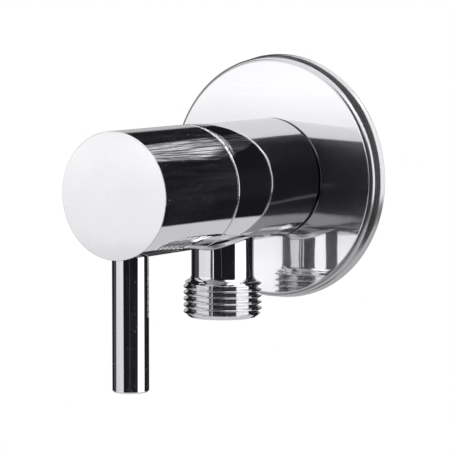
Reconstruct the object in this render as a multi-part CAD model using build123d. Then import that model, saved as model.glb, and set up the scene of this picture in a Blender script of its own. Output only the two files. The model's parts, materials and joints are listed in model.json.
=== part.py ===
"""Chrome angle valve with a sliding wall rosette and a quarter-turn ceramic cartridge.

Every node is drawn in the axis frame: x to the right, y up, z along the valve axis from the
wall towards the front. The last step turns it into the part frame: +Z up, wall plane at y = 0,
valve towards -Y, inlet towards +Y, outlet towards -Z. Sizes are in millimetres.
"""
import os
from math import cos, radians, sin

from build123d import *

# Outer shape, distances measured from the wall plane
BODY_D = 26.1
BODY_BACK = 4.35
BODY_FRONT = 35.2
SEAM_GAP = 0.25
EDGE_R = 0.3
FACE_EDGE_R = 0.1
BODY_BACK_R = 0.8

# Wall rosette
ROSETTE_FRONT_D = 52.4
ROSETTE_BACK_D = 53.3
ROSETTE_DEPTH = 4.3
ROSETTE_SHEET = 0.8
ROSETTE_EDGE_R = 1.1
ROSETTE_FLARE = (0.15, 1.4)
HOLE_CLEARANCE = 0.2725
GRIP_WALL = 1.5225
HUB_BACK = 0.9

# Inlet shank with a G1/2 thread, drawn as a plain cylinder on the thread's outer diameter
INLET_THREAD_D = 20.955
INLET_LENGTH = 10.5
JOURNAL_RELIEF = 0.2275
INLET_BORE_D = 12.0
INLET_CHAMFER = 1.0
SEAL_GROOVE_DEPTH = 1.0775
SEAL_GROOVE = (-2.6, -0.8)

# Outlet branch with a G3/8 thread, distances measured down from the valve axis
OUTLET_AT = 22.4
OUTLET_NECK_D = 13.3
OUTLET_SPIGOT_D = 11.2
OUTLET_THREAD_D = 16.662
OUTLET_FLARE = (18.5, 20.8)
OUTLET_FLARE_D = 15.4
OUTLET_THREAD_AT = 21.3
OUTLET_CHAMFER = (27.5, 14.2)
SADDLE_R = 0.9
OUTLET_END = 28.45
OUTLET_BORE_D = 8.5
OUTLET_SOCKET_D = 10.2
OUTLET_SOCKET_AT = 19.5

# Cartridge chamber in the body
SEAT_AT = 14.5
CHAMBER_D = 17.5
BONNET_THREAD_D = 19.0
BONNET_THREAD_LENGTH = 6.7
O_RING_POCKET = 1.1

# Cartridge
SKIRT_BACK = 15.5
SKIRT_CLEARANCE = 0.15
SKIRT_RELIEF = 0.3
SKIRT_WALL = 1.0
SKIRT_FLOOR = 27.5
WINDOW = (20.5, 26.0)
WINDOW_WIDTH = 7.0
GASKET_FRONT = 16.5
DISC_THICK = 2.7
DISC_SLIT = 0.02
MOVING_DISC_BACK = GASKET_FRONT + DISC_THICK + DISC_SLIT
DISC_OPEN_R = (2.9, 6.0)
DISC_OPEN_ANGLE = 80.0
LUG_WIDTH = 3.0
GLIDE_WALL = 0.95
FLANGE_THICK = 1.4
HEX_SHOULDER = 1.5
HEX_HEIGHT = 4.0
NECK_D = 14.8
NECK_LENGTH = 4.4
STEM_BORE_D = 9.0
STOP_POCKET_D = 12.8
STOP_POCKET_DEPTH = 2.7
STOP_THICK = 2.3
TOOTH_ANGLE = 28.0
QUARTER_TURN = 90.0
STOP_PLAY = 2.0

# Spindle
STEM_D = 8.9
DRIVE_WIDTH = 4.0
DRIVE_LENGTH = 12.4
DRIVE_DEPTH = 1.3
DRIVE_FRONT = 23.5
WAIST_D = 6.4
COLLAR_D = 13.0
COLLAR = (25.8, 27.0)
STEM_GROOVE_D = 6.2
STEM_GROOVES = (30.0, 35.0)
GROOVE_WIDTH = 2.0
CLIP_GROOVE_WIDTH = 0.8
CLIP_GROOVE_D = 7.4
CLIP_D = 11.2
CLIP_OPENING = 4.4
CLIP_LIFT = 0.2
SPLINE_TEETH = 18
SPLINE_TIP_D = 8.0
SPLINE_ROOT_D = 7.1
SPLINE_LIFT = 0.6
SPLINE_LENGTH = 5.8
TIP_D = 6.8
TIP_LENGTH = 5.9
TIP_FLAT = 3.0

# Handle and lever
HANDLE_RIM = 1.05
HANDLE_WALL = 1.55
HANDLE_FRONT_WALL = 2.1
RING_SEAT_DEPTH = 2.75
INSERT_D = 14.0
INSERT_KEY = (2.0, 0.8)
INSERT_PLAY = 0.2
INSERT_BED = 0.3
TIP_BORE_D = 7.2
TIP_PLAY = 0.3
LEVER_AHEAD = 2.7
LEVER_D = 7.5
LEVER_TOP = 11.2
LEVER_END = 40.35
STUD_D = 5.0
STUD_POINT_D = 3.6
STUD_END = 18.5
STUD_HEX_AF = 2.5

RUN = 0.05
GLIDE_PLAY = 0.1

# Sizes that follow from the inlet thread
INLET_JOURNAL_D = INLET_THREAD_D - 2 * JOURNAL_RELIEF
SEAL_GROOVE_D = INLET_THREAD_D - 2 * SEAL_GROOVE_DEPTH
ROSETTE_HOLE_D = INLET_THREAD_D + 2 * HOLE_CLEARANCE
HUB_D = INLET_THREAD_D + 2 * GRIP_WALL

# Stack of places along the axis that starts at the front of the body
CHAMBER_FRONT = BODY_FRONT - BONNET_THREAD_LENGTH
FLANGE_FRONT = BODY_FRONT + FLANGE_THICK
HEX_FRONT = FLANGE_FRONT + HEX_HEIGHT
NECK_FRONT = HEX_FRONT + NECK_LENGTH
STOP_FLOOR = NECK_FRONT - STOP_POCKET_DEPTH
STOP_FRONT = STOP_FLOOR + STOP_THICK
CLIP_GROOVE = (NECK_FRONT + CLIP_LIFT, NECK_FRONT + CLIP_LIFT + CLIP_GROOVE_WIDTH)
SPLINE_BACK = CLIP_GROOVE[1] + SPLINE_LIFT
SPLINE = (SPLINE_BACK, SPLINE_BACK + SPLINE_LENGTH)
TIP_FRONT = SPLINE[1] + TIP_LENGTH
TIP_BORE_FRONT = TIP_FRONT + TIP_PLAY
LEVER_AT = SPLINE[1] + LEVER_AHEAD
FACE_AT = TIP_BORE_FRONT + HANDLE_FRONT_WALL
HANDLE_BACK = BODY_FRONT + SEAM_GAP
RING_SEAT_FRONT = HANDLE_BACK + RING_SEAT_DEPTH
HANDLE_BORE_FRONT = SPLINE[0] - INSERT_BED

# Cartridge skirt that follows from the chamber it slides into
SKIRT_D = CHAMBER_D - 2 * SKIRT_CLEARANCE
SKIRT_RELIEF_D = SKIRT_D - 2 * SKIRT_RELIEF
SKIRT_BORE_D = SKIRT_D - 2 * SKIRT_WALL

# Inner sizes of the handle that follow from its outer diameter
RING_SEAT_D = BODY_D - 2 * HANDLE_RIM
HANDLE_BORE_D = BODY_D - 2 * HANDLE_WALL
FLANGE_D = RING_SEAT_D - 2 * (GLIDE_WALL + RUN)
HEX_AF = FLANGE_D - 2 * HEX_SHOULDER

TURN = Rot(90, 0, 0)


def turned(outline):
    """Solid of revolution about the valve axis from (radius, distance) points."""
    return spun([Polyline(*outline, close=True)])


def spun(lines):
    """Solid of revolution about the valve axis from joined lines and arcs."""
    return revolve(Plane.XZ * make_face(lines), axis=Axis.Z)


def rounded(solid, distance, radius):
    """Rounds the outermost circular edge found at a distance along the axis."""
    rims = [e for e in solid.edges().filter_by(GeomType.CIRCLE) if abs(e.center().Z - distance) < 0.001]
    return fillet(max(rims, key=lambda e: e.radius), radius)


def tube(outer_d, inner_d, start, end):
    """Plain ring between two distances; inner_d 0 gives a full cylinder."""
    ring = Pos(0, 0, (start + end) / 2) * Cylinder(outer_d / 2, end - start)
    if inner_d > 0:
        ring -= Pos(0, 0, (start + end) / 2) * Cylinder(inner_d / 2, end - start)
    return ring


def down(at, solid):
    """Stand a solid drawn along +z so that it points straight down from the axis."""
    return Pos(0, 0, at) * Rot(90, 0, 0) * solid


def polar(radius, angle):
    return (radius * cos(radians(angle)), radius * sin(radians(angle)))


def sector(r_in, r_out, middle, width, start, end):
    """Ring segment around the axis, angles in degrees seen from the front."""
    low = middle - width / 2
    high = middle + width / 2
    outline = [
        Line(polar(r_in, low), polar(r_out, low)),
        ThreePointArc(polar(r_out, low), polar(r_out, middle), polar(r_out, high)),
        Line(polar(r_out, high), polar(r_in, high)),
        ThreePointArc(polar(r_in, high), polar(r_in, middle), polar(r_in, low)),
    ]
    return Pos(0, 0, start) * extrude(make_face(outline), end - start, dir=(0, 0, 1))


def splined(tip_d, root_d, start, end):
    """Straight-sided spline bar."""
    step = 360 / SPLINE_TEETH
    points = []
    for tooth in range(SPLINE_TEETH):
        base = tooth * step
        points.append(polar(root_d / 2, base - 0.42 * step))
        points.append(polar(tip_d / 2, base - 0.2 * step))
        points.append(polar(tip_d / 2, base + 0.2 * step))
        points.append(polar(root_d / 2, base + 0.42 * step))
    return Pos(0, 0, start) * extrude(make_face(Polyline(*points, close=True)), end - start, dir=(0, 0, 1))


def valve_body():
    barrel = rounded(tube(BODY_D, 0, BODY_BACK, BODY_FRONT), BODY_BACK, BODY_BACK_R)
    barrel = rounded(barrel, BODY_FRONT, EDGE_R)
    thread = INLET_THREAD_D / 2
    shank = turned([
        (0, -INLET_LENGTH),
        (thread - INLET_CHAMFER, -INLET_LENGTH),
        (thread, -INLET_LENGTH + INLET_CHAMFER),
        (thread, 0),
        (INLET_JOURNAL_D / 2, 0),
        (INLET_JOURNAL_D / 2, BODY_BACK),
        (0, BODY_BACK),
    ])
    shank -= tube(INLET_THREAD_D + 2, SEAL_GROOVE_D, *SEAL_GROOVE)
    body = barrel + shank
    body -= tube(INLET_BORE_D, 0, -INLET_LENGTH, SEAT_AT)
    body -= tube(CHAMBER_D, 0, SEAT_AT, CHAMBER_FRONT)
    body -= tube(BONNET_THREAD_D, 0, CHAMBER_FRONT, BODY_FRONT)
    body -= tube(BONNET_THREAD_D + 2 * O_RING_POCKET, 0, BODY_FRONT - O_RING_POCKET, BODY_FRONT)
    return body - down(OUTLET_AT, tube(OUTLET_SPIGOT_D, 0, 0, BODY_D))


def outlet_branch():
    """Turned nipple brazed into the side of the body, its foot blended onto the barrel."""
    thread = OUTLET_THREAD_D / 2
    flare_top = (OUTLET_NECK_D / 2, OUTLET_FLARE[0])
    flare_end = (OUTLET_FLARE_D / 2, OUTLET_FLARE[1])
    neck = spun([
        Polyline((0, 0), (OUTLET_NECK_D / 2, 0), flare_top),
        TangentArc(flare_top, flare_end, tangent=(0, 1)),
        Polyline(
            flare_end,
            (thread, OUTLET_THREAD_AT),
            (thread, OUTLET_CHAMFER[0]),
            (OUTLET_CHAMFER[1] / 2, OUTLET_END),
            (0, OUTLET_END),
            (0, 0),
        ),
    ])
    way = tube(OUTLET_BORE_D, 0, 0, OUTLET_END)
    socket = turned([
        (0, OUTLET_SOCKET_AT - 1),
        (OUTLET_SOCKET_D / 2, OUTLET_SOCKET_AT),
        (OUTLET_SOCKET_D / 2, OUTLET_END - 0.6),
        (OUTLET_SOCKET_D / 2 + 0.6, OUTLET_END),
        (0, OUTLET_END),
    ])
    spigot = tube(OUTLET_SPIGOT_D, 0, 0, OUTLET_FLARE[0])
    # The blend is rolled on a barrel a hair smaller, so that its foot ends in a real edge
    barrel = tube(BODY_D - 0.04, 0, BODY_BACK, BODY_FRONT)
    joined = barrel + down(OUTLET_AT, neck)
    foot = [e for e in joined.edges() if e.geom_type not in (GeomType.CIRCLE, GeomType.LINE)]
    joined = fillet(foot, SADDLE_R)
    branch = joined - tube(BODY_D, 0, BODY_BACK, BODY_FRONT)
    branch += down(OUTLET_AT, spigot) - tube(CHAMBER_D, 0, SEAT_AT, CHAMBER_FRONT)
    return branch - down(OUTLET_AT, way) - down(OUTLET_AT, socket)


def rosette():
    """Drawn sheet cup: flat face, rounded edge, straight wall and a rim flared at the wall side."""
    front = ROSETTE_FRONT_D / 2
    back = ROSETTE_BACK_D / 2
    sheet = ROSETTE_SHEET
    hub = HUB_D / 2
    face_edge = (front - ROSETTE_EDGE_R, ROSETTE_DEPTH)
    wall_top = (front, ROSETTE_DEPTH - ROSETTE_EDGE_R)
    flare_top = (front, ROSETTE_FLARE[1])
    flare_end = (back, ROSETTE_FLARE[0])
    return spun([
        Line((ROSETTE_HOLE_D / 2, ROSETTE_DEPTH), face_edge),
        TangentArc(face_edge, wall_top, tangent=(1, 0)),
        Line(wall_top, flare_top),
        TangentArc(flare_top, flare_end, tangent=(0, -1)),
        Polyline(
            flare_end,
            (back, 0),
            (back - sheet, 0),
            (front - sheet, ROSETTE_FLARE[1]),
            (front - sheet, ROSETTE_DEPTH - sheet),
            (hub + sheet, ROSETTE_DEPTH - sheet),
            (hub + sheet, HUB_BACK),
            (hub, HUB_BACK),
            (hub, ROSETTE_DEPTH - sheet),
            (ROSETTE_HOLE_D / 2, ROSETTE_DEPTH - sheet),
            (ROSETTE_HOLE_D / 2, ROSETTE_DEPTH),
        ),
    ])


def rosette_grip_ring():
    return tube(HUB_D, INLET_THREAD_D + RUN, HUB_BACK, ROSETTE_DEPTH - ROSETTE_SHEET)


def inlet_seal_ring():
    return tube(INLET_THREAD_D - 0.35, SEAL_GROOVE_D, *SEAL_GROOVE)


def cartridge_bonnet():
    bonnet = tube(SKIRT_D, 0, SKIRT_BACK, WINDOW[0])
    bonnet += tube(SKIRT_RELIEF_D, 0, WINDOW[0], CHAMBER_FRONT)
    bonnet += tube(BONNET_THREAD_D, 0, CHAMBER_FRONT, BODY_FRONT)
    bonnet += tube(FLANGE_D, 0, BODY_FRONT, FLANGE_FRONT)
    hexagon = extrude(RegularPolygon(HEX_AF / 2, 6, major_radius=False), HEX_FRONT - FLANGE_FRONT)
    bonnet += Pos(0, 0, FLANGE_FRONT) * hexagon
    bonnet += tube(NECK_D, 0, HEX_FRONT, NECK_FRONT)
    bonnet -= tube(SKIRT_BORE_D, 0, SKIRT_BACK, SKIRT_FLOOR)
    bonnet -= tube(STEM_BORE_D, 0, SKIRT_FLOOR, NECK_FRONT)
    bonnet -= tube(STOP_POCKET_D, 0, STOP_FLOOR, NECK_FRONT)
    middle = (WINDOW[0] + WINDOW[1]) / 2
    height = WINDOW[1] - WINDOW[0]
    bonnet -= Pos(0, 0, middle) * Box(WINDOW_WIDTH, SKIRT_D + 2, height)
    bonnet -= Pos(0, 0, middle) * Box(SKIRT_D + 2, WINDOW_WIDTH, height)
    lug_front = GASKET_FRONT + DISC_THICK
    bonnet -= Pos(0, 0, (SKIRT_BACK + lug_front) / 2) * Box(SKIRT_D + 2, LUG_WIDTH, lug_front - SKIRT_BACK)
    return bonnet


def bonnet_o_ring():
    cord = O_RING_POCKET / 2
    return Pos(0, 0, BODY_FRONT - cord) * Torus(BONNET_THREAD_D / 2 + cord, cord)


def seat_gasket():
    return tube(SKIRT_BORE_D, INLET_BORE_D + 0.4, SEAT_AT, GASKET_FRONT)


def disc_openings(start, end):
    openings = sector(*DISC_OPEN_R, 90, DISC_OPEN_ANGLE, start, end)
    openings += sector(*DISC_OPEN_R, -90, DISC_OPEN_ANGLE, start, end)
    return openings


def ceramic_disc_fixed():
    start = GASKET_FRONT
    end = GASKET_FRONT + DISC_THICK
    lugs = Pos(0, 0, (start + end) / 2) * Box(SKIRT_D, LUG_WIDTH, DISC_THICK)
    lugs &= tube(SKIRT_RELIEF_D, 0, start, end)
    disc = tube(SKIRT_BORE_D, 0, start, end) + lugs
    return disc - disc_openings(start, end)


def ceramic_disc_moving():
    start = MOVING_DISC_BACK
    end = start + DISC_THICK
    disc = tube(SKIRT_BORE_D - 0.6, 0, start, end) - disc_openings(start, end)
    slot = Box(SKIRT_BORE_D, DRIVE_WIDTH + RUN, DRIVE_DEPTH)
    return disc - Pos(0, 0, end - DRIVE_DEPTH / 2) * slot


def spindle():
    stem = STEM_D / 2
    groove = STEM_GROOVE_D / 2
    drive_back = MOVING_DISC_BACK + DISC_THICK - DRIVE_DEPTH
    drive = Pos(0, 0, (drive_back + DRIVE_FRONT) / 2) * Box(DRIVE_LENGTH, DRIVE_WIDTH, DRIVE_FRONT - drive_back)
    shaft = turned([
        (0, DRIVE_FRONT - 0.5),
        (WAIST_D / 2, DRIVE_FRONT - 0.5),
        (WAIST_D / 2, COLLAR[0]),
        (COLLAR_D / 2, COLLAR[0]),
        (COLLAR_D / 2, COLLAR[1]),
        (stem, COLLAR[1]),
        (stem, STEM_GROOVES[0]),
        (groove, STEM_GROOVES[0]),
        (groove, STEM_GROOVES[0] + GROOVE_WIDTH),
        (stem, STEM_GROOVES[0] + GROOVE_WIDTH),
        (stem, STEM_GROOVES[1]),
        (groove, STEM_GROOVES[1]),
        (groove, STEM_GROOVES[1] + GROOVE_WIDTH),
        (stem, STEM_GROOVES[1] + GROOVE_WIDTH),
        (stem, CLIP_GROOVE[0]),
        (CLIP_GROOVE_D / 2, CLIP_GROOVE[0]),
        (CLIP_GROOVE_D / 2, CLIP_GROOVE[1]),
        (stem, CLIP_GROOVE[1]),
        (stem, SPLINE[0]),
        (TIP_D / 2, SPLINE[0]),
        (TIP_D / 2, TIP_FRONT - 0.4),
        (TIP_D / 2 - 0.4, TIP_FRONT),
        (0, TIP_FRONT),
    ])
    tooth = sector(stem - 0.5, STOP_POCKET_D / 2 - 0.3, 45, TOOTH_ANGLE, STOP_FLOOR + 0.1, STOP_FRONT - 0.1)
    shaft += drive
    shaft += tooth
    shaft += splined(SPLINE_TIP_D, SPLINE_ROOT_D, SPLINE[0], SPLINE[1])
    flat_length = TIP_FRONT - SPLINE[1]
    flat = Box(SPLINE_TIP_D, 2, flat_length)
    return shaft - Pos(0, -TIP_FLAT - 1, SPLINE[1] + flat_length / 2) * flat


def thrust_washer():
    return tube(COLLAR_D - 0.2, STEM_D, COLLAR[1], SKIRT_FLOOR - RUN)


def spindle_o_ring(groove_start):
    cord = (STEM_BORE_D - STEM_GROOVE_D) / 4 - 0.015
    return Pos(0, 0, groove_start + GROOVE_WIDTH / 2) * Torus(STEM_GROOVE_D / 2 + cord, cord)


def stop_ring():
    ring = tube(STOP_POCKET_D, STEM_D + 0.3, STOP_FLOOR, STOP_FRONT)
    window = QUARTER_TURN + TOOTH_ANGLE + STOP_PLAY
    return ring - sector(STEM_D / 2 - 0.5, STOP_POCKET_D / 2 + 1, 0, window, STOP_FLOOR, STOP_FRONT)


def spindle_clip():
    clip = tube(CLIP_D, CLIP_GROOVE_D, CLIP_GROOVE[0] + 0.05, CLIP_GROOVE[1] - 0.05)
    middle = (CLIP_GROOVE[0] + CLIP_GROOVE[1]) / 2
    return clip - Pos(0, CLIP_D / 2, middle) * Box(CLIP_OPENING, CLIP_D, 2 * CLIP_GROOVE_WIDTH)


def handle():
    r = BODY_D / 2
    shell = rounded(tube(BODY_D, 0, HANDLE_BACK, FACE_AT), HANDLE_BACK, EDGE_R)
    shell = rounded(shell, FACE_AT, FACE_EDGE_R)
    shell -= tube(RING_SEAT_D, 0, HANDLE_BACK, RING_SEAT_FRONT)
    shell -= tube(HANDLE_BORE_D, 0, RING_SEAT_FRONT, HANDLE_BORE_FRONT)
    shell -= insert_blank(HANDLE_BORE_FRONT)
    shell -= tube(TIP_BORE_D, 0, SPLINE[1], TIP_BORE_FRONT)
    shell -= down(LEVER_AT, tube(LEVER_D + RUN, 0, LEVER_TOP, r + 2))
    shell -= down(LEVER_AT, tube(STUD_D, 0, 0, LEVER_TOP))
    return shell


def insert_blank(start):
    """Outer shape of the spline insert, with its two keys."""
    blank = tube(INSERT_D, 0, start, SPLINE[1])
    middle = (start + SPLINE[1]) / 2
    blank += Pos(0, 0, middle) * Box(INSERT_D + 2 * INSERT_KEY[1], INSERT_KEY[0], SPLINE[1] - start)
    return blank


def handle_insert():
    start = SPLINE[0] + INSERT_PLAY
    return insert_blank(start) - splined(SPLINE_TIP_D + RUN, SPLINE_ROOT_D + RUN, start, SPLINE[1])


def handle_glide_ring():
    return tube(RING_SEAT_D, FLANGE_D + 2 * RUN, HANDLE_BACK - GLIDE_PLAY, RING_SEAT_FRONT)


def lever_stud():
    stud = tube(STUD_D, 0, TIP_FLAT + 1.2, STUD_END) + tube(STUD_POINT_D, 0, TIP_FLAT, TIP_FLAT + 1.2)
    socket = extrude(RegularPolygon(STUD_HEX_AF / 2, 6, major_radius=False), 2.5)
    return down(LEVER_AT, stud - Pos(0, 0, STUD_END - 2.5) * socket)


def lever_pin():
    r = LEVER_D / 2
    pin = turned([
        (0, LEVER_TOP),
        (r - 0.2, LEVER_TOP),
        (r, LEVER_TOP + 0.2),
        (r, LEVER_END - 0.35),
        (r - 0.35, LEVER_END),
        (0, LEVER_END),
    ])
    pin -= tube(STUD_D, 0, LEVER_TOP, STUD_END + 0.5)
    return down(LEVER_AT, pin)


NODES = {
    "valve_body": valve_body(),
    "outlet_branch": outlet_branch(),
    "inlet_seal_ring": inlet_seal_ring(),
    "rosette": rosette(),
    "rosette_grip_ring": rosette_grip_ring(),
    "cartridge_bonnet": cartridge_bonnet(),
    "bonnet_o_ring": bonnet_o_ring(),
    "seat_gasket": seat_gasket(),
    "ceramic_disc_fixed": ceramic_disc_fixed(),
    "ceramic_disc_moving": ceramic_disc_moving(),
    "spindle": spindle(),
    "thrust_washer": thrust_washer(),
    "spindle_o_ring_rear": spindle_o_ring(STEM_GROOVES[0]),
    "spindle_o_ring_front": spindle_o_ring(STEM_GROOVES[1]),
    "stop_ring": stop_ring(),
    "spindle_clip": spindle_clip(),
    "handle": handle(),
    "handle_insert": handle_insert(),
    "handle_glide_ring": handle_glide_ring(),
    "lever_stud": lever_stud(),
    "lever_pin": lever_pin(),
}

os.makedirs("parts", exist_ok=True)
for name, solid in NODES.items():
    export_step(TURN * solid, f"parts/{name}.step")
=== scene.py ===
"""Look of the chrome angle valve: materials, real threads, studio and camera."""
import json
import math

import bmesh
import bpy
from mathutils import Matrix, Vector


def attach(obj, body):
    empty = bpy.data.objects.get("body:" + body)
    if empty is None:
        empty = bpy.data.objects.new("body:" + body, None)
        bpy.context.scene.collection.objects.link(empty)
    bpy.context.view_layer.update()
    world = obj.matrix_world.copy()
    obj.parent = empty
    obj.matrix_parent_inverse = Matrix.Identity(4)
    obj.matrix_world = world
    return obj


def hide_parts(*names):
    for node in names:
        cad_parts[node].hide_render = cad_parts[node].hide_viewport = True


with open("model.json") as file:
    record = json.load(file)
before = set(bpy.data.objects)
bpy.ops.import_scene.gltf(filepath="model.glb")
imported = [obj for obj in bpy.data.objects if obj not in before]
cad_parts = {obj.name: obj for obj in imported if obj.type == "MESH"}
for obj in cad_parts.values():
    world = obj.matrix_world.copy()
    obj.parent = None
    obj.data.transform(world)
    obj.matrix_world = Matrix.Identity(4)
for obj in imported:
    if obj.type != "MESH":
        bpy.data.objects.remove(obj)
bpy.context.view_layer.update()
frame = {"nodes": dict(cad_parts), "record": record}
nodes = frame["nodes"]
scene = bpy.context.scene
MM = 0.001
FULL_TURN = 2.0 * math.pi

# Camera of the photograph: direction in degrees, the rest in millimetres
CAM_AZIMUTH = 34.82
CAM_ELEVATION = 5.75
CAM_DISTANCE = 560.0
CAM_TARGET = (5.907, -30.0, -8.004)
CAM_LENS = 214.45
CAM_SENSOR = 36.0
CAM_NEAR = 10.0


# Shader nodes

def new_material(name):
    mat = bpy.data.materials.new(name)
    mat.use_nodes = True
    tree = mat.node_tree
    return mat, tree, tree.nodes["Principled BSDF"]


def new_light_material(name):
    """Material with no nodes yet, for what only gives light."""
    mat = bpy.data.materials.new(name)
    mat.use_nodes = True
    mat.node_tree.nodes.clear()
    return mat, mat.node_tree


def add(tree, kind, **values):
    """New node with its named inputs or properties set."""
    node = tree.nodes.new(kind)
    for key, value in values.items():
        if hasattr(node, key):
            setattr(node, key, value)
        else:
            node.inputs[key].default_value = value
    return node


def math_node(tree, operation, a, b=None):
    """Result of a maths node; a and b are sockets or numbers."""
    node = add(tree, "ShaderNodeMath", operation=operation)
    for socket, value in zip(node.inputs, (a, b)):
        if value is None:
            continue
        if isinstance(value, (int, float)):
            socket.default_value = value
        else:
            tree.links.new(value, socket)
    return node.outputs[0]


def product(tree, *factors):
    """Product of sockets and numbers."""
    result = factors[0]
    for factor in factors[1:]:
        result = math_node(tree, "MULTIPLY", result, factor)
    return result


def total(tree, *terms):
    """Sum of sockets and numbers."""
    result = terms[0]
    for term in terms[1:]:
        result = math_node(tree, "ADD", result, term)
    return result


def object_axes(tree):
    """Place of a point in the object's own space, as sockets X, Y and Z in metres."""
    coords = add(tree, "ShaderNodeTexCoord")
    split = add(tree, "ShaderNodeSeparateXYZ")
    tree.links.new(coords.outputs["Object"], split.inputs[0])
    return split.outputs


NO_STRETCH = (1.0, 1.0, 1.0)


def noise(tree, scale, detail, stretch=NO_STRETCH):
    """Noise texture in object space, drawn out along an axis whose stretch is below 1."""
    coords = add(tree, "ShaderNodeTexCoord")
    mapping = add(tree, "ShaderNodeMapping")
    mapping.inputs["Scale"].default_value = stretch
    tree.links.new(coords.outputs["Object"], mapping.inputs["Vector"])
    tex = add(tree, "ShaderNodeTexNoise", Scale=scale, Detail=detail)
    tree.links.new(mapping.outputs["Vector"], tex.inputs["Vector"])
    return tex.outputs["Fac"]


def ramp(tree, value, stops):
    """Colour ramp over a value; stops are (position, colour)."""
    node = add(tree, "ShaderNodeValToRGB")
    elements = node.color_ramp.elements
    while len(elements) < len(stops):
        elements.new(0.5)
    for element, (position, colour) in zip(elements, stops):
        element.position = position
        element.color = (*colour, 1.0)
    tree.links.new(value, node.inputs["Fac"])
    return node.outputs["Color"]


# Noise values between which a colour goes from its darker to its lighter tone
NOISE_LOW = 0.3
NOISE_HIGH = 0.7


def two_tones(tree, grain, dark, light):
    """Colour that varies with a noise texture."""
    return ramp(tree, grain, [(NOISE_LOW, dark), (NOISE_HIGH, light)])


def map_range(tree, value, start, end, low, high, kind):
    node = add(tree, "ShaderNodeMapRange", interpolation_type=kind)
    limits = {"From Min": start, "From Max": end, "To Min": low, "To Max": high}
    for key, limit in limits.items():
        node.inputs[key].default_value = limit
    tree.links.new(value, node.inputs["Value"])
    return node.outputs["Result"]


def spread(tree, value, low, high, start=0.0, end=1.0):
    """Straight run from low to high while a value goes from start to end, level outside."""
    return map_range(tree, value, start, end, low, high, "LINEAR")


def smooth_step(tree, value, start, end, low=0.0, high=1.0):
    """Soft step from low to high while a value goes from start to end, level outside."""
    return map_range(tree, value, start, end, low, high, "SMOOTHSTEP")


def band(tree, value, low, high, soft):
    """1 between low and high and 0 outside, changing over the soft width each side of a limit."""
    rise = smooth_step(tree, value, low - soft, low + soft)
    fall = smooth_step(tree, value, high - soft, high + soft, 1.0, 0.0)
    return product(tree, rise, fall)


def mix_colour(tree, factor, colour, other):
    """Colour socket that goes over to another, fixed colour as the factor rises to 1."""
    node = add(tree, "ShaderNodeMix", data_type="RGBA")
    tree.links.new(factor, node.inputs["Factor"])
    tree.links.new(colour, node.inputs["A"])
    node.inputs["B"].default_value = (*other, 1.0)
    return node.outputs["Result"]


def bump(tree, shader, height, strength, distance):
    node = add(tree, "ShaderNodeBump", Strength=strength, Distance=distance)
    tree.links.new(height, node.inputs["Height"])
    tree.links.new(node.outputs["Normal"], shader.inputs["Normal"])


# Finishes

def plated(name):
    """Plating before its relief: near mirror, faint tone drift, fine polishing marks."""
    mat, tree, shader = new_material(name)
    shader.inputs["Metallic"].default_value = 1.0
    cloud = noise(tree, scale=90.0, detail=4.0)
    colour = two_tones(tree, cloud, dark=(0.835, 0.835, 0.85), light=(0.88, 0.88, 0.895))
    tree.links.new(colour, shader.inputs["Base Color"])
    marks = noise(tree, scale=2600.0, detail=2.0)
    tree.links.new(spread(tree, marks, low=0.02, high=0.06), shader.inputs["Roughness"])
    return mat, tree, shader, colour


def polished_chrome(name):
    """Plating with the faint wave that polishing leaves."""
    mat, tree, shader, _ = plated(name)
    wave = noise(tree, scale=160.0, detail=2.0)
    bump(tree, shader, wave, strength=0.02, distance=0.0002)
    return mat, tree, shader


def rubbed_chrome(name, stretch, amount):
    """Handled plating, with a faint haze of rubbing marks along one axis and a few specks."""
    mat, tree, shader = polished_chrome(name)
    streaks = noise(tree, scale=900.0, detail=5.0, stretch=stretch)
    rubbed = spread(tree, streaks, low=-0.55, high=1.0)
    patches = spread(tree, noise(tree, scale=150.0, detail=3.0), low=0.0, high=1.4)
    haze = math_node(tree, "MAXIMUM", product(tree, rubbed, patches), 0.0)
    grain = noise(tree, scale=2200.0, detail=1.0)
    specks = spread(tree, grain, low=0.0, high=0.25, start=0.72, end=0.78)
    dull = total(tree, product(tree, haze, amount), specks)
    tree.links.new(math_node(tree, "SUBTRACT", 1.0, dull), shader.inputs["Metallic"])
    return mat


# Face of the drawn rosette: its lean to the right and upwards, as slopes, and its bend across
# and, above the axis, upwards, as slope per metre
SHEET_LEAN = (0.0225, 0.0426)
SHEET_BEND = (0.3, 0.93)

# Radii between which the face goes over to the rim, which is less finely polished, in metres
RIM_EDGE = (0.0253, 0.0257)
RIM_METALLIC = 0.935
RIM_COLOUR = (0.64, 0.64, 0.655)

# Inside of the cup, unpolished: past a distance along the axis and within a radius, in metres
CUP_INSIDE = (-0.0039, 0.0259)

# Roughness of the face and the rim, and what brushing marks and a missing polish add to it
FACE_ROUGH = 0.035
RIM_ROUGH = 0.22
MARKS_ROUGH = 0.19
INSIDE_ROUGH = 0.25

# Noise above which a spot of the face is a brushing mark
MARKS_FROM = 0.56


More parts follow.
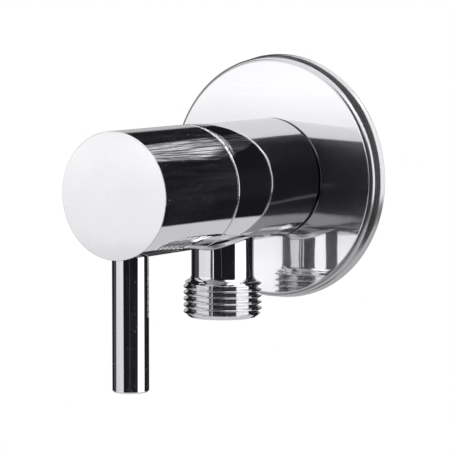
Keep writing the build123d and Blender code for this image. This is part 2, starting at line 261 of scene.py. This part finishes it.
def sheet_chrome():
    """Plated sheet whose face is a little out of true, as a pressed rosette is."""
    mat, tree, shader = new_material("sheet_chrome")
    place = object_axes(tree)
    height = 0.0
    for axis, lean, bend in zip("XZ", SHEET_LEAN, SHEET_BEND):
        along = place[axis]
        bent = math_node(tree, "MAXIMUM", along, 0.0) if axis == "Z" else along
        slope = product(tree, along, -lean)
        height = total(tree, slope, product(tree, along, bent, -0.5 * bend), height)
    bump(tree, shader, height, strength=1.0, distance=1.0)

    squares = [math_node(tree, "POWER", place[axis], 2.0) for axis in "XZ"]
    radius = math_node(tree, "SQRT", total(tree, *squares))
    rim = smooth_step(tree, radius, *RIM_EDGE)
    behind = math_node(tree, "GREATER_THAN", place["Y"], CUP_INSIDE[0])
    within = math_node(tree, "LESS_THAN", radius, CUP_INSIDE[1])
    inside = product(tree, behind, within)

    fine = noise(tree, scale=60000.0, detail=1.0, stretch=(0.2, 1.0, 1.0))
    marks = math_node(tree, "GREATER_THAN", fine, MARKS_FROM)
    polish = spread(tree, rim, FACE_ROUGH, RIM_ROUGH)
    unpolished = spread(tree, inside, 0.0, INSIDE_ROUGH)
    brushing = product(tree, marks, spread(tree, rim, MARKS_ROUGH, 0.0))
    tree.links.new(total(tree, polish, unpolished, brushing), shader.inputs["Roughness"])
    tree.links.new(spread(tree, rim, 1.0, RIM_METALLIC), shader.inputs["Metallic"])

    brushed = noise(tree, scale=1500.0, detail=4.0, stretch=(0.03, 1.0, 1.0))
    face = two_tones(tree, brushed, dark=(0.85, 0.85, 0.863), light=(0.867, 0.867, 0.88))
    duller = math_node(tree, "MAXIMUM", rim, inside)
    colour = mix_colour(tree, duller, face, RIM_COLOUR)
    tree.links.new(colour, shader.inputs["Base Color"])
    return mat


# Height of the wave that polishing leaves on the body, in metres
BODY_WAVE = 0.000014

# Painted shade in the tight seam where the body meets the rosette, darkening its colour: where it
# sets in, is full and ends along the axis, in metres
SEAM_SHADE = (-0.0052, -0.0047)
SEAM_END = -0.0043
SEAM_SHADE_COLOUR = (0.02, 0.02, 0.022)

# Patch at the top of the body's front edge that polishing has rolled off: where it starts along
# the axis, how fast it falls, and its heights with their softness, in metres
ROLL_START = -0.0331
ROLL_RATE = 45.0
ROLL_HEIGHTS = (0.0068, 0.02, 0.003)


def body_chrome():
    """Plating of the body, a little wavy, with painted shade in the seam against the rosette."""
    mat, tree, shader, plain = plated("body_chrome")
    place = object_axes(tree)
    wave = product(tree, noise(tree, scale=170.0, detail=2.0), BODY_WAVE)
    past = math_node(tree, "SUBTRACT", ROLL_START, place["Y"])
    past = math_node(tree, "MAXIMUM", past, 0.0)
    fall = product(tree, math_node(tree, "POWER", past, 2.0), ROLL_RATE)
    patch = band(tree, place["Z"], *ROLL_HEIGHTS)
    uneven = spread(tree, noise(tree, scale=1100.0, detail=3.0), low=-0.6, high=2.6)
    roll = product(tree, fall, patch, uneven)
    bump(tree, shader, math_node(tree, "SUBTRACT", wave, roll), strength=1.0, distance=1.0)

    # Painted shade: the colour is darkened in the seam against the rosette
    shade = smooth_step(tree, place["Y"], *SEAM_SHADE)
    before_end = math_node(tree, "LESS_THAN", place["Y"], SEAM_END)
    colour = mix_colour(tree, product(tree, shade, before_end), plain, SEAM_SHADE_COLOUR)
    tree.links.new(colour, shader.inputs["Base Color"])
    return mat


def grained(
    name, scale, detail, dark, light, rough, metallic=0.0, stretch=NO_STRETCH, relief=None
):
    """Plain finish whose grain sets its tone, its roughness and, where it has one, its relief.

    rough is the least and the most roughness, relief the bump's strength and distance.
    """
    mat, tree, shader = new_material(name)
    shader.inputs["Metallic"].default_value = metallic
    grain = noise(tree, scale, detail, stretch)
    tree.links.new(two_tones(tree, grain, dark, light), shader.inputs["Base Color"])
    tree.links.new(spread(tree, grain, *rough), shader.inputs["Roughness"])
    if relief:
        bump(tree, shader, grain, *relief)
    return mat


def inner_finishes():
    """Finishes by material slot, apart from chrome."""
    return {
        "brass": grained(
            "turned_brass", scale=1800.0, detail=2.0, stretch=(0.05, 1.0, 0.05), metallic=1.0,
            dark=(0.62, 0.45, 0.19), light=(0.78, 0.6, 0.3), rough=(0.2, 0.36),
            relief=(0.15, 0.00005),
        ),
        "steel": grained(
            "plain_steel", scale=1500.0, detail=3.0, metallic=1.0,
            dark=(0.5, 0.51, 0.53), light=(0.66, 0.67, 0.69), rough=(0.22, 0.4),
        ),
        "rubber": grained(
            "sealing_rubber", scale=2500.0, detail=3.0,
            dark=(0.018, 0.018, 0.02), light=(0.045, 0.045, 0.05), rough=(0.55, 0.75),
            relief=(0.1, 0.00003),
        ),
        "ceramic": grained(
            "lapped_ceramic", scale=1200.0, detail=4.0,
            dark=(0.86, 0.85, 0.81), light=(0.94, 0.93, 0.9), rough=(0.18, 0.3),
        ),
        "plastic": grained(
            "moulded_plastic", scale=1800.0, detail=3.0,
            dark=(0.8, 0.8, 0.78), light=(0.88, 0.88, 0.86), rough=(0.38, 0.52),
            relief=(0.08, 0.00003),
        ),
    }


# Threads, in millimetres. An outline is a list of (distance along the axis, radius).

# Outlet thread G3/8 below the neck; the flare is its start, its end and its radius there
OUTLET_AXIS_Y = -22.4
OUTLET_NECK_R = 6.65
OUTLET_SKIN_TOP = 18.5
OUTLET_FLARE = (19.5, 20.8, 7.7)
OUTLET_OUTLINE = [(21.3, 8.331), (27.5, 8.331), (28.45, 7.1)]
OUTLET_PITCH = 1.337
OUTLET_RUN_IN = 20.6
FLARE_STEPS = 12

# Inlet thread G1/2 behind the rosette
INLET_OUTLINE = [(2.6, 10.4775), (9.5, 10.4775), (10.5, 9.4775)]
INLET_PITCH = 1.814
INLET_RUN_IN = 2.6

# Pipe thread form: flank angle in degrees, depth and rounding as shares of the pitch
THREAD_FLANK = 27.5
THREAD_DEPTH = 0.640327
THREAD_ROUND = 0.137329

# Skin of a thread: points around, rows per turn, share of a pitch over which the thread runs in,
# and rows over which it fades at each end
SKIN_AROUND = 144
SKIN_PER_TURN = 36.0
SKIN_RUN_IN = 0.6
SKIN_FADE_ROWS = 2.0

# Slack for finding the faces and open edges of the plain thread zone
ALONG_SLACK = 0.01
RADIUS_SLACK = 0.05
RING_SLACK = 0.02

# Points closer than this are one, in metres
WELD_AT = 1e-7


def flare_outline():
    """Hollow flare from the outlet neck to its thread."""
    top, end, end_r = OUTLET_FLARE
    run = end - top
    rise = end_r - OUTLET_NECK_R
    arc_r = (run * run + rise * rise) / (2.0 * rise)
    sweep = math.asin(run / arc_r)
    points = []
    for i in range(FLARE_STEPS + 1):
        angle = sweep * i / FLARE_STEPS
        radius = OUTLET_NECK_R + arc_r * (1.0 - math.cos(angle))
        points.append((top + arc_r * math.sin(angle), radius))
    return points


def outline_radius(outline, distance):
    """Radius of a turned outline at a distance along its axis."""
    for (d0, r0), (d1, r1) in zip(outline, outline[1:]):
        if distance <= d1:
            share = (distance - d0) / (d1 - d0)
            return r0 + (r1 - r0) * share
    return outline[-1][1]


def thread_drop(phase, pitch):
    """Depth below the crest of a 55 degree pipe thread with rounded crests and roots."""
    flank = math.radians(THREAD_FLANK)
    depth = THREAD_DEPTH * pitch
    nose = THREAD_ROUND * pitch
    along = pitch * abs((phase + 0.5) % 1.0 - 0.5)
    round_end = nose * math.cos(flank)
    round_drop = nose * (1.0 - math.sin(flank))
    if along < round_end:
        return nose - math.sqrt(nose * nose - along * along)
    if along > 0.5 * pitch - round_end:
        rest = 0.5 * pitch - along
        return depth - nose + math.sqrt(nose * nose - rest * rest)
    return round_drop + (along - round_end) / math.tan(flank)


def zip_rings(mesh, one, two):
    """Joins two rings of vertices by triangles; a ring is a list of (angle, vertex) by angle."""
    angles_one = [angle for angle, _ in one[1:]] + [one[0][0] + FULL_TURN]
    angles_two = [angle for angle, _ in two[1:]] + [two[0][0] + FULL_TURN]
    i = j = 0
    while i < len(one) or j < len(two):
        corner_one = one[i % len(one)][1]
        corner_two = two[j % len(two)][1]
        if j == len(two) or (i < len(one) and angles_one[i] <= angles_two[j]):
            i += 1
            tip = one[i % len(one)][1]
        else:
            j += 1
            tip = two[j % len(two)][1]
        mesh.faces.new((corner_one, tip, corner_two))


def threaded(node, outline, pitch, place, run_in):
    """Copy of a CAD node whose plain thread zone carries a real helical thread.

    place(angle, radius, distance) gives a point, in millimetres. Inside the zone the outer faces
    of the copy are taken out, and a finely stepped helical skin is sewn into the gap.
    """
    source = nodes[node]
    piece = bpy.data.objects.new(node + "_threaded", source.data.copy())
    scene.collection.objects.link(piece)
    mesh = bmesh.new()
    mesh.from_mesh(piece.data)
    bmesh.ops.remove_doubles(mesh, verts=mesh.verts, dist=WELD_AT)
    start = outline[0][0]
    end = outline[-1][0]
    least = min(radius for _, radius in outline)
    crest = max(radius for _, radius in outline)
    axis_at = place(0.0, 0.0, 0.0)
    along = (place(0.0, 0.0, 1.0) - axis_at).normalized()
    front = place(0.0, 1.0, 0.0) - axis_at
    side = place(0.25 * FULL_TURN, 1.0, 0.0) - axis_at

    def polar(vert):
        """Angle, radius and distance of a vertex, as place takes them."""
        offset = vert.co / MM - axis_at
        distance = offset.dot(along)
        radius = (offset - along * distance).length
        angle = math.atan2(offset.dot(side), offset.dot(front)) % FULL_TURN
        return angle, radius, distance

    def outside(vert):
        _, radius, distance = polar(vert)
        in_zone = start - ALONG_SLACK < distance < end + ALONG_SLACK
        return in_zone and radius > least - RADIUS_SLACK

    def open_ring(where):
        """Open edge of the mesh at a distance along the axis, as (angle, vertex) by angle."""
        ring = []
        for vert in mesh.verts:
            angle, _, distance = polar(vert)
            if vert.is_boundary and abs(distance - where) < RING_SLACK:
                ring.append((angle, vert))
        return sorted(ring, key=lambda entry: entry[0])

    skin = [face for face in mesh.faces if all(outside(vert) for vert in face.verts)]
    bmesh.ops.delete(mesh, geom=skin, context="FACES")
    first_ring = open_ring(start)
    last_ring = open_ring(end)

    angles = [FULL_TURN * j / SKIN_AROUND for j in range(SKIN_AROUND)]
    steps = int((end - start) / (pitch / SKIN_PER_TURN))
    rows = []
    for i in range(1, steps):
        distance = start + (end - start) * i / steps
        hull = outline_radius(outline, distance)
        depth = min(1.0, max(0.0, (distance - run_in) / (SKIN_RUN_IN * pitch)))
        edge = min(1.0, i / SKIN_FADE_ROWS, (steps - i) / SKIN_FADE_ROWS)
        row = []
        for angle in angles:
            drop = thread_drop((distance - start) / pitch - angle / FULL_TURN, pitch)
            cut = crest - drop * depth
            radius = hull + (min(hull, cut) - hull) * edge
            row.append(mesh.verts.new(place(angle, radius, distance) * MM))
        rows.append(row)
    for upper, lower in zip(rows, rows[1:]):
        for j in range(SKIN_AROUND):
            k = (j + 1) % SKIN_AROUND
            mesh.faces.new((upper[j], lower[j], lower[k], upper[k]))
    zip_rings(mesh, first_ring, list(zip(angles, rows[0])))
    zip_rings(mesh, last_ring, list(zip(angles, rows[-1])))
    bmesh.ops.recalc_face_normals(mesh, faces=mesh.faces)
    mesh.to_mesh(piece.data)
    mesh.free()
    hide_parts(node)
    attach(piece, "valve")
    return piece


def outlet_place(angle, radius, distance):
    y = OUTLET_AXIS_Y + radius * math.sin(angle)
    return Vector((radius * math.cos(angle), y, -distance))


def inlet_place(angle, radius, distance):
    return Vector((radius * math.sin(angle), distance, radius * math.cos(angle)))


# Edges sharper than this stay crisp, in degrees
CRISP_ANGLE = 38.0

# How strongly the larger faces set the shading at an edge, from 1 to 100
FLAT_WEIGHT = 100


def smooth(piece):
    """Even shading over curved faces, crisp at real edges, true on flats beside a rounding."""
    for face in piece.data.polygons:
        face.use_smooth = True
    weld = piece.modifiers.new("weld", "WELD")
    weld.merge_threshold = WELD_AT
    split = piece.modifiers.new("crisp_edges", "EDGE_SPLIT")
    split.split_angle = math.radians(CRISP_ANGLE)
    true_flats = piece.modifiers.new("true_flats", "WEIGHTED_NORMAL")
    true_flats.mode = "FACE_AREA"
    true_flats.weight = FLAT_WEIGHT


def dress(piece, mat):
    piece.data.materials.clear()
    piece.data.materials.append(mat)
    smooth(piece)


outlet_outline = [(OUTLET_SKIN_TOP, OUTLET_NECK_R)] + flare_outline() + OUTLET_OUTLINE
outlet = threaded("outlet_branch", outlet_outline, OUTLET_PITCH, outlet_place, OUTLET_RUN_IN)
inlet = threaded("valve_body", INLET_OUTLINE, INLET_PITCH, inlet_place, INLET_RUN_IN)

finishes = inner_finishes()
finishes["chrome"] = polished_chrome("polished_chrome")[0]
own_finishes = {
    "rosette": sheet_chrome(),
    "handle": rubbed_chrome("handle_chrome", stretch=(1.0, 0.07, 1.0), amount=0.05),
    "lever_pin": rubbed_chrome("pin_chrome", stretch=(1.0, 1.0, 0.05), amount=0.05),
}
for entry in frame["record"]["subparts"]:
    finish = own_finishes.get(entry["node"], finishes[entry["material_slot"]])
    dress(nodes[entry["node"]], finish)
dress(outlet, rubbed_chrome("branch_chrome", stretch=(1.0, 1.0, 0.2), amount=0.03))
dress(inlet, body_chrome())


# Studio: a pale floor disc, and a dark tent whose light cards show in the chrome.
# Directions are degrees: azimuths from the front towards +X, elevations up from the horizon.

STUDIO_CENTRE = (0.0, -0.03, 0.0)
TENT_RADIUS = 1.4
TENT_BLACK = (0.0095, 0.0092, 0.0125)

# Plain cards: azimuth range, elevation range, strength, edge softness. Their azimuths run from
# -90 round to 270, and a range that goes further ends there.
CARDS_FROM = -90.0
CARDS = [
    (82.0, 131.0, -14.0, 60.0, 1.35, 1.5),
    (82.0, 131.0, -32.0, -14.0, 0.2, 1.5),
    (30.2, 31.8, -30.0, -4.0, 0.10, 0.8),
    (211.0, 240.0, 2.0, 19.0, 0.5, 3.0),
    (205.0, 245.0, -30.0, 2.0, 0.045, 3.0),
    (-150.0, -64.0, -26.0, 8.0, 0.05, 3.0),
    (-150.0, -66.0, 10.0, 38.0, 0.5, 3.0),
    (45.0, 84.0, 32.0, 60.0, 1.2, 6.0),
    (138.0, 152.0, -14.0, 14.0, 0.004, 5.0),
    (-200.0, 400.0, 51.0, 120.0, 1.1, 2.0),
    (-140.0, -60.0, 36.0, 54.0, 0.9, 2.0),
]

# Window on the left: its azimuth and elevation range with the softness of each, the lean of its
# sides above an elevation, and its tones over the elevation and over the azimuth
WINDOW = (-63.0, -9.0, -30.0, 53.0)
WINDOW_SOFT = (1.2, 1.5)
WINDOW_LEAN = 0.25
WINDOW_LEAN_FROM = -6.0
WINDOW_TONES = [
    (-20, 0.5), (-8, 0.79), (-6.5, 0.84), (-6.3, 0.95), (-5, 0.99), (-3.5, 1.12),
    (-2.4, 0.94), (2.2, 0.95), (3.8, 1.16), (17, 0.85), (50, 0.8),
]
WINDOW_ACROSS = [(-60, 0.97), (-37, 0.97), (-31, 1.03), (-10, 1.03)]

# Table below: the elevation of its far edge and its tone, both over the azimuth, how far it
# reaches below that edge, and the edge's softness
TABLE_EDGES = [
    (-180, -31.5), (-120, -31.5), (-50, -28.4), (50, -28.4), (120, -31.5), (180, -31.5),
]
TABLE_TONES = [(-180, 0.62), (-90, 0.62), (-60, 0.3), (60, 0.3), (90, 0.62), (180, 0.62)]
TABLE_REACH = 120.0
TABLE_SOFT = 0.8

# Largest size that the values of a curve over degrees may take: of a tone, and of an elevation
TONE_REACH = 1.0
EDGE_REACH = 100.0


def tones(tree, value, stops, reach=TONE_REACH):
    """Piecewise straight curve over a value in degrees, kept in a ramp around its middle grey."""
    first = stops[0][0]
    last = stops[-1][0]
    share = spread(tree, value, 0.0, 1.0, first, last)
    scaled = []
    for at, tone in stops:
        grey = 0.5 + 0.5 * tone / (2.0 * reach)
        scaled.append(((at - first) / (last - first), (grey,) * 3))
    curve = math_node(tree, "SUBTRACT", ramp(tree, share, scaled), 0.5)
    return product(tree, curve, 4.0 * reach)


def give_light(tree, strength, other):
    """Ends a material with plain white light, added to another shader."""
    glow = add(tree, "ShaderNodeEmission")
    tree.links.new(strength, glow.inputs["Strength"])
    both = add(tree, "ShaderNodeAddShader")
    tree.links.new(glow.outputs[0], both.inputs[0])
    tree.links.new(other.outputs[0], both.inputs[1])
    out = add(tree, "ShaderNodeOutputMaterial")
    tree.links.new(both.outputs[0], out.inputs["Surface"])


def tent_directions(tree):
    """Azimuth and elevation of a point of the tent, in degrees."""
    point = add(tree, "ShaderNodeNewGeometry")
    shift = add(tree, "ShaderNodeVectorMath", operation="SUBTRACT")
    shift.inputs[1].default_value = STUDIO_CENTRE
    tree.links.new(point.outputs["Position"], shift.inputs[0])
    unit = add(tree, "ShaderNodeVectorMath", operation="NORMALIZE")
    tree.links.new(shift.outputs[0], unit.inputs[0])
    split = add(tree, "ShaderNodeSeparateXYZ")
    tree.links.new(unit.outputs[0], split.inputs[0])
    front = product(tree, split.outputs["Y"], -1.0)
    turn = math_node(tree, "ARCTAN2", split.outputs["X"], front)
    rise = math_node(tree, "ARCSINE", split.outputs["Z"])
    return [product(tree, angle, 180.0 / math.pi) for angle in (turn, rise)]


def cards_light(tree, azimuth, elevation):
    """Light of the plain cards."""
    before = math_node(tree, "LESS_THAN", azimuth, CARDS_FROM)
    around = total(tree, azimuth, product(tree, before, 360.0))
    light = 0.0
    for left, right, low, high, strength, soft in CARDS:
        across = band(tree, around, left, right, soft)
        upright = band(tree, elevation, low, high, soft)
        light = total(tree, product(tree, across, upright, strength), light)
    return light


def window_light(tree, azimuth, elevation):
    left, right, low, high = WINDOW
    above = math_node(tree, "SUBTRACT", elevation, WINDOW_LEAN_FROM)
    above = math_node(tree, "MAXIMUM", above, 0.0)
    leaned = math_node(tree, "SUBTRACT", azimuth, product(tree, above, WINDOW_LEAN))
    across = band(tree, leaned, left, right, WINDOW_SOFT[0])
    upright = band(tree, elevation, low, high, WINDOW_SOFT[1])
    tone = product(
        tree, tones(tree, elevation, WINDOW_TONES), tones(tree, azimuth, WINDOW_ACROSS)
    )
    return product(tree, across, upright, tone)


def table_light(tree, azimuth, elevation):
    edge = tones(tree, azimuth, TABLE_EDGES, EDGE_REACH)
    below = math_node(tree, "SUBTRACT", elevation, edge)
    table = band(tree, below, -TABLE_REACH, 0.0, TABLE_SOFT)
    return product(tree, table, tones(tree, azimuth, TABLE_TONES))


def tent_material():
    mat, tree = new_light_material("tent")
    directions = tent_directions(tree)
    parts = [part(tree, *directions) for part in (cards_light, window_light, table_light)]
    dusk = add(tree, "ShaderNodeEmission", Color=(*TENT_BLACK, 1.0))
    give_light(tree, total(tree, *parts), dusk)
    return mat


def studio_object(name, mesh, mat, place):
    """Object of the studio from a mesh that is still being edited."""
    data = bpy.data.meshes.new(name)
    mesh.to_mesh(data)
    mesh.free()
    data.materials.append(mat)
    obj = bpy.data.objects.new(name, data)
    obj.location = place
    scene.collection.objects.link(obj)
    return obj


def build_tent():
    mesh = bmesh.new()
    bmesh.ops.create_uvsphere(mesh, u_segments=96, v_segments=48, radius=TENT_RADIUS)
    tent = studio_object("tent", mesh, tent_material(), STUDIO_CENTRE)
    tent.visible_camera = False
    tent.visible_shadow = False


# Crumpled strip behind and above that flickers in the handle: place and size in millimetres
STRIP_AT = (18.0, 25.0, 60.0)
STRIP_SIZE = (56.0, 34.0)
STRIP_LIGHT = 0.75

# Its streaks: how many per metre across and along, and their light over the noise
STRIP_STREAKS = (420.0, 70.0, 1.0)
STRIP_TONES = [(0.44, 0.05), (0.5, 0.3), (0.57, 1.3)]

# Its lower edge, which slants: slope, where the light starts to rise and is full, light below
STRIP_SLANT = 0.13
STRIP_RISE = (-0.0115, -0.0065)
STRIP_LOW = 0.12

# Its sides, which fade: half width and softness
STRIP_HALF = 0.021
STRIP_SOFT = 0.004


def strip_material():
    """Hard flickering streaks that run along the valve, dimmer towards the lower edge."""
    mat, tree = new_light_material("strip")
    coords = add(tree, "ShaderNodeTexCoord")
    stretch = add(tree, "ShaderNodeMapping")
    stretch.inputs["Scale"].default_value = STRIP_STREAKS
    tree.links.new(coords.outputs["Object"], stretch.inputs["Vector"])
    grain = add(tree, "ShaderNodeTexNoise", Scale=1.0, Detail=6.0, Roughness=0.75)
    tree.links.new(stretch.outputs[0], grain.inputs["Vector"])
    greys = [(position, (tone,) * 3) for position, tone in STRIP_TONES]
    flicker = ramp(tree, grain.outputs["Fac"], greys)
    place = object_axes(tree)
    height = total(tree, place["Y"], product(tree, place["X"], STRIP_SLANT))
    fade = smooth_step(tree, height, *STRIP_RISE, low=STRIP_LOW)
    sides = band(tree, place["X"], -STRIP_HALF, STRIP_HALF, STRIP_SOFT)
    clear = add(tree, "ShaderNodeBsdfTransparent")
    give_light(tree, product(tree, flicker, fade, sides, STRIP_LIGHT), clear)
    return mat


def build_strip():
    mesh = bmesh.new()
    bmesh.ops.create_grid(mesh, x_segments=1, y_segments=1, size=0.5)
    for vert in mesh.verts:
        vert.co.x *= STRIP_SIZE[0] * MM
        vert.co.y *= STRIP_SIZE[1] * MM
    strip = studio_object("strip", mesh, strip_material(), Vector(STRIP_AT) * MM)
    strip.rotation_euler = (math.radians(90.0), 0.0, 0.0)
    strip.visible_camera = False
    strip.visible_shadow = False
    strip.visible_diffuse = False


FLOOR_AT = (0.0, -0.03, -0.75)
FLOOR_RADIUS = 0.9
FLOOR_ROUGH = 0.8


def build_floor():
    mat, tree, shader = new_material("pale_floor")
    speck = noise(tree, scale=40.0, detail=4.0)
    colour = two_tones(tree, speck, dark=(0.86, 0.86, 0.86), light=(0.9, 0.9, 0.9))
    tree.links.new(colour, shader.inputs["Base Color"])
    shader.inputs["Roughness"].default_value = FLOOR_ROUGH
    mesh = bmesh.new()
    bmesh.ops.create_circle(mesh, cap_ends=True, segments=128, radius=FLOOR_RADIUS)
    floor = studio_object("floor", mesh, mat, FLOOR_AT)
    floor.visible_glossy = False


# Lamps: name, place and diameter in metres, power in watts
LAMPS = [
    ("key", (0.35, -0.45, 0.6), 0.4, 2.6),
    ("fill", (-0.5, -0.35, 0.35), 0.5, 1.8),
]


def add_lamp(name, place, size, power):
    lamp = bpy.data.lights.new(name, "AREA")
    lamp.energy = power
    lamp.shape = "DISK"
    lamp.size = size
    obj = bpy.data.objects.new(name, lamp)
    obj.location = place
    aim = Vector(STUDIO_CENTRE) - Vector(place)
    obj.rotation_euler = aim.to_track_quat("-Z", "Y").to_euler()
    obj.visible_glossy = False
    scene.collection.objects.link(obj)


def build_world():
    world = bpy.data.worlds.new("studio")
    world.use_nodes = True
    background = world.node_tree.nodes["Background"]
    background.inputs["Color"].default_value = (1.0, 1.0, 1.0, 1.0)
    background.inputs["Strength"].default_value = 1.0
    scene.world = world


def build_camera():
    az = math.radians(CAM_AZIMUTH)
    el = math.radians(CAM_ELEVATION)
    back = Vector((math.sin(az) * math.cos(el), -math.cos(az) * math.cos(el), math.sin(el)))
    data = bpy.data.cameras.new("camera")
    data.lens = CAM_LENS
    data.sensor_width = CAM_SENSOR
    data.clip_start = CAM_NEAR * MM
    camera = bpy.data.objects.new("camera", data)
    camera.location = (Vector(CAM_TARGET) + back * CAM_DISTANCE) * MM
    camera.rotation_euler = (-back).to_track_quat("-Z", "Y").to_euler()
    scene.collection.objects.link(camera)
    scene.camera = camera


build_tent()
build_strip()
build_floor()
build_world()
build_camera()
for lamp_values in LAMPS:
    add_lamp(*lamp_values)
scene.view_settings.view_transform = "Standard"
